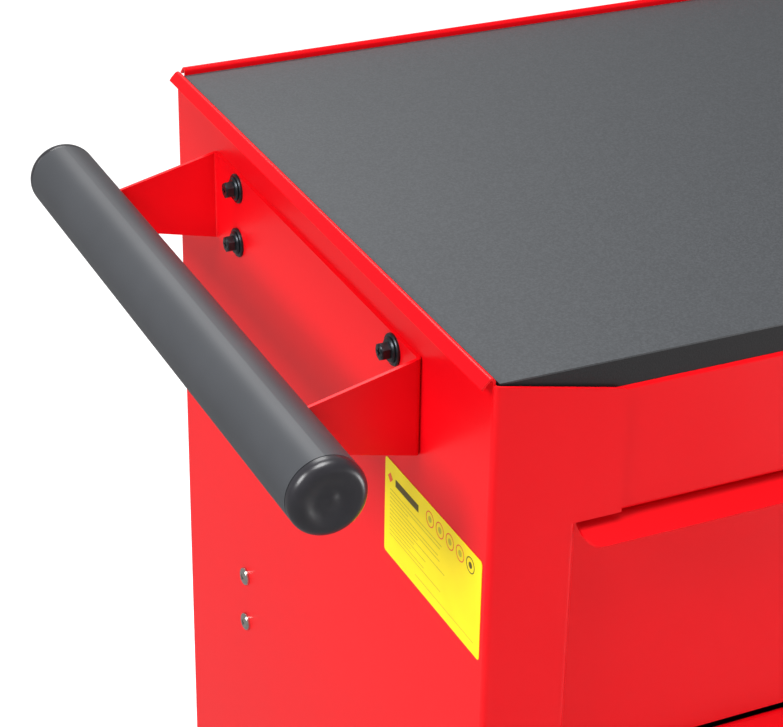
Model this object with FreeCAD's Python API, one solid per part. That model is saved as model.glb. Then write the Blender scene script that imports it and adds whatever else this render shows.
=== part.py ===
import FreeCAD, Part
import math
import os

# Rolling tool chest: a bent sheet-steel case on four casters with four drawers on ball slides,
# a worktop, a push handle on the left side and one lock for all the drawers.
# Millimetres. Everything is built with X to the right from the left side's outer face, Y to the
# rear from the posts' front face and Z up from the floor, and moved to the origin at the end.

# Case
case_w = 620.0              # over the two side panels
case_d = 400.0              # front of the posts to the back of the side panels
sheet = 1.2                 # steel of the case and the drawer fronts
corner_r = 3.0              # outside radius of the case's vertical corners
bend_r = 0.8                # inside radius of every other bend
drawer_count = 4
drawer_pitch = 144.2        # height of opening that each drawer takes
head_h = 79.7               # case top down to the first drawer
toe_h = 23.5                # last drawer down to the case's underside
post_w = 44.5               # visible width of each front post beside the drawers
post_return = 34.0          # how far the post is turned back beside the drawers
tab_w = 67.8                # width of each post above the drawers, where it laps the top rail
tab_drop = 15.1             # fall of the tab's top edge from the corner to its end
tab_r = 5.0                 # rounding of the tab's top corner
rear_return = 18.0          # width of the side panels' flange behind the back panel
rail_overlap = 16.0         # how far the top rail runs behind each tab
rail_flange = 14.0          # depth of the flanges along the drawer opening
rim_rise = 3.5              # rolled rim above the panel's top edge
rim_r = 0.8                 # inside radius of the roll
rim_reach = 7.2             # rim's outer lip, measured out from the panel's inner face
rim_start = 2.0             # front end of the rim behind the posts' face
rim_rear_gap = 5.0          # rear end of the rim ahead of the case's back
rim_corner_r = 3.0          # rounding of the rim's rear corner
rim_notch = 4.0             # rear flange's top below the panel's, under the back's rim
rim_seam = 10.0             # rim's seam with the skin below the case top
back_gap = 4.5              # back panel's edges in from the sides' outer faces
pan_upstand = 20.0          # turned-up edges of the bottom pan
pan_notch = 10.0            # rear notches beside the side panels' flanges
deck_front = 20.5           # front edge of the deck under the worktop
deck_flange = 9.0

# Worktop
board_t = 13.5
mat_t = 0.8
mat_low = 0.3               # mat's top below the side panel's top edge
top_gap = 3.5               # worktop's edges in from the case's outer faces
top_front_gap = 0.3         # worktop behind the top rail's front tabs

# Drawers
front_recess = 7.0          # drawer front behind the posts' face
front_side_gap = 2.3        # drawer front to post
front_top_gap = 2.0
front_low_gap = 1.0
front_flange = 10.0         # turned-back edges of the drawer front
lip_slope = 37.0            # fall of the pull lip below level, in degrees
lip_reach = 7.5             # pull lip ahead of the posts' face
lip_bend_r = 1.5
lip_corner_r = 10.0
lip_root = 1.5              # flat left below the lip's bend
box_sheet = 1.0
box_rear_room = 27.0        # case back to the drawer box
box_low_gap = 5.0
box_top_gap = 15.0
hem_h = 8.0
liner_t = 2.0

# Slides
slide_t = 12.7              # case side to drawer side
slide_h = 45.0
slide_down = 72.1           # slides' centre below the top of each drawer's opening
slide_front = 20.0          # front end of the slides behind the posts' face
slide_rear_room = 40.0      # rear end of the slides ahead of the case's back
race_gap = 1.6              # room for the balls between two members
upright_w = 30.0
upright_rear = 97.0         # centre of the rear uprights ahead of the case's back
upright_lip = 11.0

# Side screws, one pair to each slide
screw_pitch = 32.0
screw_head_r = 5.4
screw_head_h = 2.8
screw_head_round = 1.7
screw_r = 2.5
screw_l = 8.0
recess_reach = 3.0          # arms of a screw's cross recess
recess_w = 1.4

# Push handle
plate_t = 2.0
plate_h = 52.0
plate_mid = 47.0            # centre of the handle below the case top
wing_front = 72.0           # front wing's outer face behind the posts' face
wing_rear = 64.5            # rear wing's outer face ahead of the case's back
wing_taper = 0.24           # fall of each wing edge for each mm out
grip_out = 71.6             # grip's axis out from the side panel
grip_r = 19.1
tube_r = 16.0
tube_wall = 2.0
grip_over = 52.5            # grip sleeve past each wing's outer face
cap_l = 7.5
cap_r = 5.0
cap_plug_l = 18.0
fit_gap = 0.1
slot_gap = 0.2
bolt_front = 28.0           # front bolts behind the front wing
bolt_rear = 34.5            # rear bolts ahead of the rear wing
bolt_pitch = 32.0
bolt_rise = 1.4             # bolts' centre above the handle's
bolt_r = 2.5
bolt_flange_r = 6.4
bolt_flange_t = 1.4
bolt_af = 8.0
bolt_head_h = 4.6
bolt_recess = 1.8
washer_r = 8.1
washer_t = 1.6
nut_t = 4.7

# Sticker
label_front = 5.6
label_l = 105.0
label_h = 54.0
label_top = 93.3
label_t = 0.2
label_r = 2.0

# Lock
lock_in = 36.0              # lock's axis in from the right side
lock_down = 45.0            # lock's axis below the case top
lock_r = 9.5
lock_flange_r = 12.5
lock_flange_t = 2.5
lock_l = 32.0
plug_r = 7.0
running_gap = 0.05
cam_t = 3.0
crank_r = 7.5               # crank pin's radius about the lock's axis
crank_pin_r = 1.5
crank_slot_gap = 0.4
crank_slot_room = 0.5       # slot's ends beyond the pin's travel
crank_r_over = 2.5          # crank disc's radius over the plug's
plug_gap = 0.5              # crank behind the barrel
keyway_w = 1.8
keyway_h = 8.0
keyway_l = 12.0
lock_turn = 90.0
bar_w = 20.0
bar_t = 3.0
bar_in = 21.0               # lock bar's near edge in from the right side
bar_y_gap = 6.0             # lock bar behind the post's return
bar_below = 20.0            # bar's lower end below the last hook
bar_above = 14.0            # bar's upper end above the lock's axis
hook_reach = 11.0
hook_h = 10.0
hook_down = 34.0            # top of each hook below the top of its drawer's opening
catch_reach = 7.2
catch_h = 8.0
catch_gap = 2.0             # catch above the hook when unlocked
catch_behind = 3.0          # catch behind the hook
catch_t = 2.0
guide_t = 8.0               # height of each guide block
guide_wall = 4.0            # block round the bar's groove
guide_grip = 5.0            # bar's edge held in the groove
guide_gap = 0.3

# Casters
caster_h = 125.0            # floor to the case's underside
wheel_r = 50.0
wheel_w = 30.0
core_r = 37.0
core_w = 26.0
core_rim = 5.0              # depth of the core's rim
core_web = 8.6              # web between hub and rim
tyre_shoulder_r = 3.5
hub_r = 11.0
hub_l = 34.0
axle_r = 4.0
axle_head_r = 7.5
axle_head_t = 5.0
trail = 35.0
caster_in_x = 62.0
caster_in_y = 95.0
caster_plate_x = 92.0
caster_plate_y = 72.0
caster_plate_t = 3.0
caster_plate_r = 8.0
caster_bolts_x = 74.0
caster_bolts_y = 54.0
caster_bolt_r = 3.0
caster_bolt_af = 10.0
caster_bolt_head_t = 4.0
race_r = 28.0
race_t = 6.0
crown_t = 6.0
race_clear = 1.0
kingpin_r = 6.0
kingpin_head_r = 10.0
kingpin_head_t = 4.0
leg_t = 3.0
leg_gap = 1.0               # hub to leg
leg_boss_r = 12.0
leg_root = 28.0             # half width of a fixed caster's leg at its plate
leg_round = 10.0
leg_corner_r = 2.0
leg_turn_r = 6.0
leg_setback = 2.0           # fork's legs inside the crown's edge
ear_r = 8.0                 # fork's ear round the pedal's pin
pedal_pin_r = 2.5
pedal_back = 30.0           # pedal's pivot beyond the wheel's axle
pedal_up = 50.0             # pedal's pivot above the wheel's axle
pedal_l = 36.0
pedal_t = 3.0
pedal_w = 48.0
pedal_arm = 12.0            # pivot to the tread's near edge
pedal_r = 7.0               # tread's outer corners
pedal_wall = 2.0            # barrel round the pin
pedal_pin_over = 2.0        # pin's ends beyond the legs

# Worked out from the sizes above
bottom = caster_h
top = caster_h + head_h + drawer_count * drawer_pitch + toe_h
opening_top = top - head_h
wall_in = sheet + bend_r
mat_top = top - mat_low
board_top = mat_top - mat_t
rail_top = board_top - board_t
slide_l = case_d - slide_front - slide_rear_room
handle_z = top - plate_mid
wing_y0 = wing_front
wing_y1 = case_d - wing_rear
grip_y0 = wing_y0 - grip_over
grip_y1 = wing_y1 + grip_over
bolt_ys = (wing_y0 + bolt_front, wing_y1 - bolt_rear)
bolt_zs = (handle_z + bolt_rise - bolt_pitch / 2, handle_z + bolt_rise + bolt_pitch / 2)
upright_y = case_d - upright_rear
drawer_side_x = post_w + slide_t
lock_x = case_w - lock_in
lock_z = top - lock_down
bar_y0 = post_return + bar_y_gap
rim_lip_out = rim_reach - sheet
caster_bolt_len = caster_plate_t + sheet + nut_t
fork_half = hub_l / 2 + leg_gap
overall_left = grip_out + grip_r
overall_right = case_w + rim_lip_out
overall_front = min(-lip_reach, caster_in_y - trail - pedal_back - pedal_l)
overall_back = case_d - 2 * sheet + rim_reach
to_origin = FreeCAD.Vector((overall_left - overall_right) / 2,
                           -(overall_front + overall_back) / 2, 0)


def box(x, y, z):
    """A block between a low and a high value on each axis."""
    return Part.makeBox(x[1] - x[0], y[1] - y[0], z[1] - z[0], FreeCAD.Vector(x[0], y[0], z[0]))


def rod(radius, start, end):
    """A round bar between two points."""
    a = FreeCAD.Vector(*start)
    b = FreeCAD.Vector(*end)
    return Part.makeCylinder(radius, (b - a).Length, a, b - a)


def hexagon(across_flats, start, end):
    """A hexagonal bar between two points on a line along X or Z."""
    a = FreeCAD.Vector(*start)
    b = FreeCAD.Vector(*end)
    along = b - a
    side = FreeCAD.Vector(0, 1, 0)
    other = along.cross(side).normalize()
    reach = across_flats / math.sqrt(3)
    corners = []
    for i in range(7):
        turn = math.radians(60 * i)
        corners.append(a + side * (reach * math.cos(turn)) + other * (reach * math.sin(turn)))
    return Part.Face(Part.makePolygon(corners)).extrude(along)


def fuse(shapes):
    """One solid from shapes that share faces or volume."""
    return shapes[0].multiFuse(shapes[1:]).removeSplitter()


def mirrored(shape):
    """The same piece on the other side of the case."""
    return shape.mirror(FreeCAD.Vector(case_w / 2, 0, 0), FreeCAD.Vector(1, 0, 0))


def spot(axis, u, v, w):
    """A point in space from a point in the plane across an axis."""
    places = {"X": (w, u, v), "Y": (u, w, v), "Z": (u, v, w)}
    return FreeCAD.Vector(*places[axis])


def rounded_edges(axis, w, points, radii):
    """Edges along open points, with each inner corner rounded by its radius."""
    edges = []
    last = points[0]
    for i in range(1, len(points) - 1):
        (px, py), (ax, ay), (bx, by) = points[i], points[i - 1], points[i + 1]
        la = math.hypot(px - ax, py - ay)
        lb = math.hypot(bx - px, by - py)
        ux, uy = (px - ax) / la, (py - ay) / la
        vx, vy = (bx - px) / lb, (by - py) / lb
        cross = ux * vy - uy * vx
        turn = abs(math.atan2(cross, ux * vx + uy * vy))
        back = radii[i] * math.tan(turn / 2)
        if back < 1e-6:
            edges.append(Part.makeLine(spot(axis, *last, w), spot(axis, px, py, w)))
            last = (px, py)
            continue
        start = (px - ux * back, py - uy * back)
        end = (px + vx * back, py + vy * back)
        side = math.copysign(1, cross)
        cx = start[0] - uy * radii[i] * side
        cy = start[1] + ux * radii[i] * side
        away = math.hypot(px - cx, py - cy)
        middle = (cx + (px - cx) / away * radii[i], cy + (py - cy) / away * radii[i])
        if math.hypot(start[0] - last[0], start[1] - last[1]) > 1e-6:
            edges.append(Part.makeLine(spot(axis, *last, w), spot(axis, *start, w)))
        edges.append(Part.Arc(*[spot(axis, *p, w) for p in (start, middle, end)]).toShape())
        last = end
    edges.append(Part.makeLine(spot(axis, *last, w), spot(axis, *points[-1], w)))
    return edges


def bent(axis, span, points, thickness, inside_r):
    """Sheet bent along points, on the left of the path, and running between two places on an axis."""
    steps = []
    for (ax, ay), (bx, by) in zip(points, points[1:]):
        length = math.hypot(bx - ax, by - ay)
        steps.append(((bx - ax) / length, (by - ay) / length))
    near = [0]
    far = [0]
    offset = [(points[0][0] - steps[0][1] * thickness, points[0][1] + steps[0][0] * thickness)]
    for i in range(1, len(points) - 1):
        (ux, uy), (vx, vy) = steps[i - 1], steps[i]
        share = thickness / (1 + ux * vx + uy * vy)
        offset.append((points[i][0] - (uy + vy) * share, points[i][1] + (ux + vx) * share))
        left_turn = ux * vy - uy * vx > 0
        near.append(inside_r + thickness if left_turn else inside_r)
        far.append(inside_r if left_turn else inside_r + thickness)
    offset.append((points[-1][0] - steps[-1][1] * thickness, points[-1][1] + steps[-1][0] * thickness))
    low, high = span
    edges = rounded_edges(axis, low, points, near)
    edges.append(Part.makeLine(spot(axis, *points[-1], low), spot(axis, *offset[-1], low)))
    edges += rounded_edges(axis, low, offset[::-1], [0] + far[::-1])
    edges.append(Part.makeLine(spot(axis, *offset[0], low), spot(axis, *points[0], low)))
    face = Part.Face(Part.Wire(edges))
    return face.extrude(spot(axis, 0, 0, high - low))


def plate(axis, span, points, radii):
    """A flat plate whose outline has its corners rounded, between two places on an axis."""
    low, high = span
    first = points[0]
    last = points[-1]
    middle = ((first[0] + last[0]) / 2, (first[1] + last[1]) / 2)
    edges = rounded_edges(axis, low, [middle] + points + [middle], [0] + radii + [0])
    return Part.Face(Part.Wire(edges)).extrude(spot(axis, 0, 0, high - low))


def rim_path(inner, outward, low):
    """Path of a rolled rim in the plane across it: up the panel's inner face, over and down the lip."""
    fall = math.radians(45)
    roll = rim_r + sheet
    vertex = top + rim_rise - roll + roll * math.tan((math.pi / 2 + fall) / 2)
    path = [(inner, low), (inner, vertex)]
    path.append((inner + outward * rim_reach, vertex - rim_reach * math.tan(fall)))
    return path


def side_panel():
    """Left side: skin, front post, its return beside the drawers, rear flange and rolled rim."""
    rear = [(rear_return, case_d), (0, case_d), (0, 0)]
    inside_r = corner_r - sheet
    low_post = bent("Z", (bottom, bottom + toe_h), rear + [(post_w, 0)], sheet, inside_r)
    beside = rear + [(post_w, 0), (post_w, post_return)]
    mid_post = bent("Z", (bottom + toe_h, opening_top), beside, sheet, inside_r)
    head = bent("Z", (opening_top, top), rear + [(tab_w, 0)], sheet, inside_r)
    slope = [(0, top), (tab_w, top - tab_drop), (tab_w, opening_top), (tab_w + 10, opening_top)]
    slope += [(tab_w + 10, top + 1), (0, top + 1)]
    head = head.cut(plate("Y", (-1, rim_start), slope, [0, tab_r, 0, 0, 0, 0]))
    rim_rear = case_d - rim_rear_gap
    rim = bent("Y", (rim_start, rim_rear), rim_path(sheet, -1, top - rim_seam), sheet, rim_r)
    lip_low = min(v.Z for v in rim.Vertexes if v.X < -1)
    block = box((-20, -0.5), (rim_rear - rim_corner_r, rim_rear + 1), (lip_low - 1, lip_low + rim_corner_r))
    round_end = rod(rim_corner_r, (-20, rim_rear - rim_corner_r, lip_low + rim_corner_r),
                    (-0.5, rim_rear - rim_corner_r, lip_low + rim_corner_r))
    rim = rim.cut(block.cut(round_end))
    panel = fuse([low_post, mid_post, head, rim])
    under_rim = (top - rim_notch, top + 1)
    panel = panel.cut(box((corner_r, rear_return + 1), (case_d - 2 * sheet, case_d + 1), under_rim))
    for y, z in screw_places():
        panel = panel.cut(rod(screw_r, (-1, y, z), (wall_in, y, z)))
    return panel


def parted(panel):
    """A side panel's solids, parted beside its bends so that each is nearly flat."""
    x = (-rim_reach, case_w + rim_reach)
    front = (-1, corner_r)
    middle = (corner_r, case_d - corner_r)
    rear = (case_d - corner_r, case_d + 1)
    seam = top - rim_seam
    rooms = [(front, (bottom, opening_top)), (front, (opening_top, top + rim_rise)), (middle, (bottom, seam)),
             (middle, (seam, top + rim_rise)), (rear, (bottom, top + rim_rise))]
    return [s for y, z in rooms for s in panel.common(box(x, y, z)).Solids]


def left_side():
    panel = side_panel()
    for y in bolt_ys:
        for z in bolt_zs:
            panel = panel.cut(rod(bolt_r, (-1, y, z), (wall_in, y, z)))
    return parted(panel)


def right_side():
    lock_hole = rod(lock_r, (lock_x, -1, lock_z), (lock_x, wall_in, lock_z))
    return parted(mirrored(side_panel()).cut(lock_hole))


def slide_heights():
    """Centre of each drawer's slides."""
    return [opening_top - k * drawer_pitch - slide_down for k in range(drawer_count)]


def screw_places():
    """The two screws behind the rear end of each slide."""
    return [(upright_y, z + s * screw_pitch / 2) for z in slide_heights() for s in (-1, 1)]


def back_panel():
    path = rim_path(case_d - 2 * sheet, 1, bottom + sheet)[::-1]
    return bent("X", (back_gap, case_w - back_gap), path, sheet, rim_r)


def bottom_pan():
    """Pan with the rail under the last drawer at its front and turned-up sides and rear."""
    inner = case_d - 2 * sheet
    path = [(rail_flange, bottom + toe_h), (sheet, bottom + toe_h), (sheet, bottom)]
    path += [(inner, bottom), (inner, bottom + pan_upstand)]
    pan = bent("X", (sheet, case_w - sheet), path, sheet, bend_r)
    rear_y = case_d - pan_notch
    notch = rail_flange + 1
    for x0 in (0, case_w - rear_return):
        pan = pan.cut(box((x0, x0 + rear_return), (0, notch), (bottom - 1, bottom + toe_h + 1)))
        pan = pan.cut(box((x0, x0 + rear_return), (rear_y, case_d), (bottom - 1, bottom + toe_h + 1)))
    low = bottom + sheet
    for x0 in (sheet, case_w - 2 * sheet):
        pan = pan.fuse(box((x0, x0 + sheet), (notch, rear_y), (low, bottom + pan_upstand)))
    for x, y, z in caster_bolt_places():
        pan = pan.cut(rod(caster_bolt_r, (x, y, bottom - 1), (x, y, low + 1)))
    return pan.removeSplitter()


def top_rail():
    """Rail above the drawers, behind the two tabs."""
    path = [(deck_front, rail_top), (sheet, rail_top), (sheet, opening_top), (rail_flange, opening_top)]
    start = tab_w - rail_overlap
    return bent("X", (start, case_w - start), path, sheet, bend_r)


def top_deck():
    """Sheet under the worktop, with its sides turned down."""
    path = [(case_w - sheet, rail_top - deck_flange), (case_w - sheet, rail_top)]
    path += [(sheet, rail_top), (sheet, rail_top - deck_flange)]
    return bent("Y", (deck_front, case_d - rim_rear_gap), path, sheet, bend_r)


def worktop_layer(low, high):
    return box((top_gap, case_w - top_gap), (2 * sheet + top_front_gap, case_d - top_gap), (low, high))


def rear_upright():
    """Channel screwed to the side, with lips that the slides' rear ends are fixed to."""
    y0 = upright_y - upright_w / 2
    y1 = upright_y + upright_w / 2
    path = [(post_w, y0 + upright_lip), (post_w, y0), (sheet, y0)]
    path += [(sheet, y1), (post_w, y1), (post_w, y1 - upright_lip)]
    channel = bent("Z", (bottom + toe_h, opening_top), path[::-1], sheet, bend_r)
    for y, z in screw_places():
        channel = channel.cut(rod(screw_r, (0, y, z), (3 * sheet, y, z)))
    return channel


def side_screw(y, z):
    """Pan-head screw with a cross recess, through the side and the upright."""
    head = rod(screw_head_r, (-screw_head_h, y, z), (0, y, z))
    head = head.makeFillet(screw_head_round, [e for e in head.Edges if e.BoundBox.XMax < -0.1])
    for wide, tall in ((recess_w / 2, recess_reach), (recess_reach, recess_w / 2)):
        head = head.cut(box((-screw_head_h - 1, -1), (y - wide, y + wide), (z - tall, z + tall)))
    return fuse([head, rod(screw_r, (0, y, z), (screw_l, y, z))])


def channel_section(x, half, reach, y, z):
    """Slide member: a channel whose web stands at x and whose flanges reach towards x + reach."""
    path = [(x + reach, z + half), (x, z + half), (x, z - half), (x + reach, z - half)]
    if reach < 0:
        path = path[::-1]
    return bent("Y", y, path, sheet, bend_r)


def slide_members(k):
    """Outer, middle and inner members of drawer k's left slide."""
    z = slide_heights()[k]
    y = (slide_front, slide_front + slide_l)
    half = slide_h / 2
    step = sheet + race_gap
    outer = channel_section(post_w, half, slide_t - 2 * sheet, y, z)
    middle = channel_section(post_w + step, half - step, slide_t - step - sheet - race_gap, y, z)
    inner = channel_section(drawer_side_x, half - 2 * step, -(slide_t - 2 * step), y, z)
    return outer, middle, inner


def drawer_zone(k):
    """Top and bottom of drawer k's share of the opening."""
    return opening_top - k * drawer_pitch, opening_top - (k + 1) * drawer_pitch


def drawer_front(k):
    """Face with turned-back edges and a full-width lip rolled forwards along its top, parted at the bends."""
    high, low = drawer_zone(k)
    apex = high - front_top_gap
    low += front_low_gap
    rear = front_recess + sheet
    roll = lip_bend_r + sheet
    fall = math.radians(lip_slope)
    vertex = apex - roll + roll * math.tan((math.pi / 2 + fall) / 2)
    reach = rear + lip_reach
    x0 = post_w + front_side_gap
    x1 = case_w - x0
    face_top = apex - roll - lip_root
    flange_y = (front_recess, rear + front_flange)
    face = box((x0 + sheet, x1 - sheet), (front_recess, rear), (low + sheet, face_top))
    solids = [face, box((x0 + sheet, x1 - sheet), flange_y, (low, low + sheet))]
    for x in (x0, x1 - sheet):
        solids.append(box((x, x + sheet), flange_y, (low, face_top)))
    lip = bent("X", (x0, x1), [(rear, face_top), (rear, vertex), (-lip_reach, vertex - reach * math.tan(fall))],
               sheet, lip_bend_r)
    lip_y = lip_corner_r - lip_reach
    tall = (low, high)
    for x, centre in ((x0, x0 + lip_corner_r), (x1 - lip_corner_r, x1 - lip_corner_r)):
        block = box((x, x + lip_corner_r), (-lip_reach - 1, lip_y), tall)
        lip = lip.cut(block.cut(rod(lip_corner_r, (centre, lip_y, low), (centre, lip_y, high))))
    return solids + [lip]


def box_size(k):
    """Outer limits of drawer k's box on each axis."""
    high, low = drawer_zone(k)
    y0 = front_recess + sheet
    return (drawer_side_x, case_w - drawer_side_x), (y0, case_d - box_rear_room), \
        (low + box_low_gap, high - box_top_gap)


def drawer_box(k):
    """Floor, four walls with hemmed top edges, and a catch for the lock bar on the right wall."""
    x, y, z = box_size(k)
    t = box_sheet
    solids = [box((x[0] + t, x[1] - t), (y[0] + t, y[1] - t), (z[0], z[0] + t))]
    hem_z = (z[1] - hem_h, z[1])
    for x0, x1 in ((x[0], x[0] + t), (x[1] - t, x[1])):
        wall = box((x0, x1), y, z)
        inner = x1 if x0 == x[0] else x0 - t
        solids.append(fuse([wall, box((inner, inner + t), (y[0] + 2 * t, y[1] - 2 * t), hem_z)]))
    for y0, y1 in ((y[0], y[0] + t), (y[1] - t, y[1])):
        wall = box((x[0] + t, x[1] - t), (y0, y1), z)
        inner = y1 if y0 == y[0] else y0 - t
        solids.append(fuse([wall, box((x[0] + t, x[1] - t), (inner, inner + t), hem_z)]))
    hook_top = drawer_zone(k)[0] - hook_down
    catch_y = bar_y0 + bar_t + catch_behind
    catch_z = (hook_top + catch_gap, hook_top + catch_gap + catch_h)
    solids.append(box((x[1], x[1] + catch_reach), (catch_y, catch_y + catch_t), catch_z))
    return solids


def drawer_liner(k):
    x, y, z = box_size(k)
    inset = box_sheet + 1
    low = z[0] + box_sheet
    return box((x[0] + inset, x[1] - inset), (y[0] + inset, y[1] - inset), (low, low + liner_t))


def wing_outline(grow):
    """Tapered outline of a handle wing, in X and Z, widened by grow."""
    half = plate_h / 2 + grow
    reach = grip_out
    end = half - wing_taper * reach
    points = [(0, handle_z - half), (0, handle_z + half), (-reach, handle_z + end), (-reach, handle_z - end)]
    return points


def handle_bracket():
    """Base plate bolted to the side, with a wing bent out at each end and shaped to the tube."""
    path = [(-grip_out, wing_y1), (0, wing_y1), (0, wing_y0), (-grip_out, wing_y0)]
    band = (handle_z - plate_h / 2, handle_z + plate_h / 2)
    bracket = bent("Z", band, path[::-1], plate_t, bend_r)
    bracket = bracket.common(plate("Y", (wing_y0 - 1, wing_y1 + 1), wing_outline(0), [0, 0, 0, 0]))
    bracket = bracket.cut(rod(tube_r, (-grip_out, wing_y0 - 1, handle_z), (-grip_out, wing_y1 + 1, handle_z)))
    bracket = max(bracket.Solids, key=lambda s: s.Volume)
    for y in bolt_ys:
        for z in bolt_zs:
            bracket = bracket.cut(rod(bolt_r, (-plate_t - 1, y, z), (1, y, z)))
    return bracket


def handle_tube():
    start = (-grip_out, grip_y0, handle_z)
    end = (-grip_out, grip_y1, handle_z)
    return rod(tube_r, start, end).cut(rod(tube_r - tube_wall, start, end))


def handle_grip():
    """Soft sleeve over the tube, slotted where the wings pass through it."""
    start = (-grip_out, grip_y0, handle_z)
    end = (-grip_out, grip_y1, handle_z)
    sleeve = rod(grip_r, start, end).cut(rod(tube_r + fit_gap, start, end))
    for y in ((wing_y0, wing_y0 + plate_t), (wing_y1 - plate_t, wing_y1)):
        wing = plate("Y", (y[0] - slot_gap, y[1] + slot_gap), wing_outline(slot_gap), [0, 0, 0, 0])
        sleeve = sleeve.cut(wing.common(box((-grip_out, 0), y_room(y), z_room())))
    return sleeve


def y_room(y):
    return y[0] - 1, y[1] + 1


def z_room():
    return handle_z - plate_h, handle_z + plate_h


def grip_cap(y, out):
    """Plastic cap with a rounded edge, plugged into one end of the tube."""
    end = y + out * cap_l
    disc = rod(grip_r, (-grip_out, y, handle_z), (-grip_out, end, handle_z))
    rim = [e for e in disc.Edges if abs(e.CenterOfMass.y - end) < 0.01 and e.Length > 1]
    disc = disc.makeFillet(cap_r, rim)
    plug = rod(tube_r - tube_wall - fit_gap, (-grip_out, y, handle_z),
               (-grip_out, y - out * cap_plug_l, handle_z))
    return fuse([disc, plug])


def handle_bolt(y, z):
    """Flange bolt through washer, bracket and side, with its nut inside."""
    face = -plate_t - washer_t
    head = -plate_t - washer_t - bolt_flange_t
    tip = sheet + nut_t + 1
    flange = rod(bolt_flange_r, (face, y, z), (head, y, z))
    hexagon_head = hexagon(bolt_af, (head - bolt_head_h, y, z), (head, y, z))
    for wide, tall in ((recess_w / 2, recess_reach), (recess_reach, recess_w / 2)):
        deep = (head - bolt_head_h - 1, head - bolt_head_h + bolt_recess)
        hexagon_head = hexagon_head.cut(box(deep, (y - wide, y + wide), (z - tall, z + tall)))
    bolt = fuse([flange, hexagon_head, rod(bolt_r, (face, y, z), (tip, y, z))])
    nut = hexagon(bolt_af, (sheet, y, z), (sheet + nut_t, y, z)).cut(rod(bolt_r, (0, y, z), (tip + 1, y, z)))
    return [bolt, nut]


def handle_washer(y, z):
    ring = rod(washer_r, (-plate_t - washer_t, y, z), (-plate_t, y, z))
    return ring.cut(rod(bolt_r, (-plate_t - washer_t - 1, y, z), (1, y, z)))


def side_label():
    high = top - label_top
    y0 = label_front
    points = [(y0, high - label_h), (y0 + label_l, high - label_h), (y0 + label_l, high), (y0, high)]
    return plate("X", (-label_t, 0), points, [label_r] * 4)


def lock_housing():
    """Barrel through the right post, with a flange on the outside."""
    barrel = rod(lock_r, (lock_x, 0, lock_z), (lock_x, lock_l, lock_z))
    flange = rod(lock_flange_r, (lock_x, -lock_flange_t, lock_z), (lock_x, 0, lock_z))
    bore = rod(plug_r + running_gap, (lock_x, -lock_flange_t - 1, lock_z), (lock_x, lock_l + 1, lock_z))
    return fuse([barrel, flange]).cut(bore)


def lock_plug():
    """Key plug with its keyway, and the crank and pin on its tail that lift the lock bar."""
    front = -lock_flange_t
    crank_y = lock_l + plug_gap
    plug = rod(plug_r, (lock_x, front, lock_z), (lock_x, crank_y, lock_z))
    plug = plug.cut(box((lock_x - keyway_w / 2, lock_x + keyway_w / 2), (front - 1, front + keyway_l),
                        (lock_z - keyway_h / 2, lock_z + keyway_h / 2)))
    low = math.radians(lock_turn / 2)
    pin_x = lock_x + crank_r * math.cos(low)
    pin_z = lock_z - crank_r * math.sin(low)
    crank = rod(plug_r + crank_r_over, (lock_x, crank_y, lock_z), (lock_x, crank_y + cam_t, lock_z))
    pin = rod(crank_pin_r, (pin_x, crank_y, pin_z), (pin_x, bar_y0 + bar_t, pin_z))
    return [plug, fuse([crank, pin])]


def lock_bar():
    """Flat bar behind the right post with a hook welded on for each drawer, shown unlocked, at its lowest."""
    x0 = case_w - bar_in - bar_w
    x1 = case_w - bar_in
    y = (bar_y0, bar_y0 + bar_t)
    hook_tops = [drawer_zone(k)[0] - hook_down for k in range(drawer_count)]
    bar = box((x0, x1), y, (min(hook_tops) - hook_h - bar_below, lock_z + bar_above))
    low = math.radians(lock_turn / 2)
    pin_z = lock_z - crank_r * math.sin(low)
    slot_x = (lock_x + crank_r * math.cos(low) - crank_pin_r - crank_slot_room,
              lock_x + crank_r + crank_pin_r + crank_slot_room)
    gap = crank_pin_r + crank_slot_gap
    bar = bar.cut(box(slot_x, (bar_y0 - 1, bar_y0 + bar_t + 1), (pin_z - gap, pin_z + gap)))
    return [bar] + [box((x0 - hook_reach, x0), y, (z - hook_h, z)) for z in hook_tops]


def bar_guides():
    """Blocks on the right side's inner face, grooved for the lock bar's edge."""
    guides = []
    edge = case_w - bar_in
    for z in (opening_top - drawer_pitch / 2, opening_top - (drawer_count - 0.5) * drawer_pitch):
        block = box((edge - guide_grip, case_w - sheet), (bar_y0 - guide_wall, bar_y0 + bar_t + guide_wall),
                    (z, z + guide_t))
        slot = box((edge - guide_grip - 1, edge + guide_gap),
                   (bar_y0 - guide_gap, bar_y0 + bar_t + guide_gap), (z - 1, z + guide_t + 1))
        guides.append(block.cut(slot))
    return guides


def caster_places():
    """Centres of the caster plates: two swivel casters at the handle's end, two fixed ones at the other."""
    ys = (caster_in_y, case_d - caster_in_y)
    swivel = [(caster_in_x, y) for y in ys]
    fixed = [(case_w - caster_in_x, y) for y in ys]
    return swivel, fixed


def caster_bolt_places():
    """Each caster bolt's place at the underside of the case."""
    places = []
    for x, y in caster_places()[0] + caster_places()[1]:
        for sx in (-1, 1):
            for sy in (-1, 1):
                places.append((x + sx * caster_bolts_x / 2, y + sy * caster_bolts_y / 2, bottom))
    return places


def caster_plate(x, y):
    """Top plate with its four bolt holes, under the case."""
    hx = caster_plate_x / 2
    hy = caster_plate_y / 2
    points = [(x - hx, y - hy), (x + hx, y - hy), (x + hx, y + hy), (x - hx, y + hy)]
    flat = plate("Z", (bottom - caster_plate_t, bottom), points, [caster_plate_r] * 4)
    for bx, by, bz in caster_bolt_places():
        flat = flat.cut(rod(caster_bolt_r, (bx, by, bz - 20), (bx, by, bz + 1)))
    return flat


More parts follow.
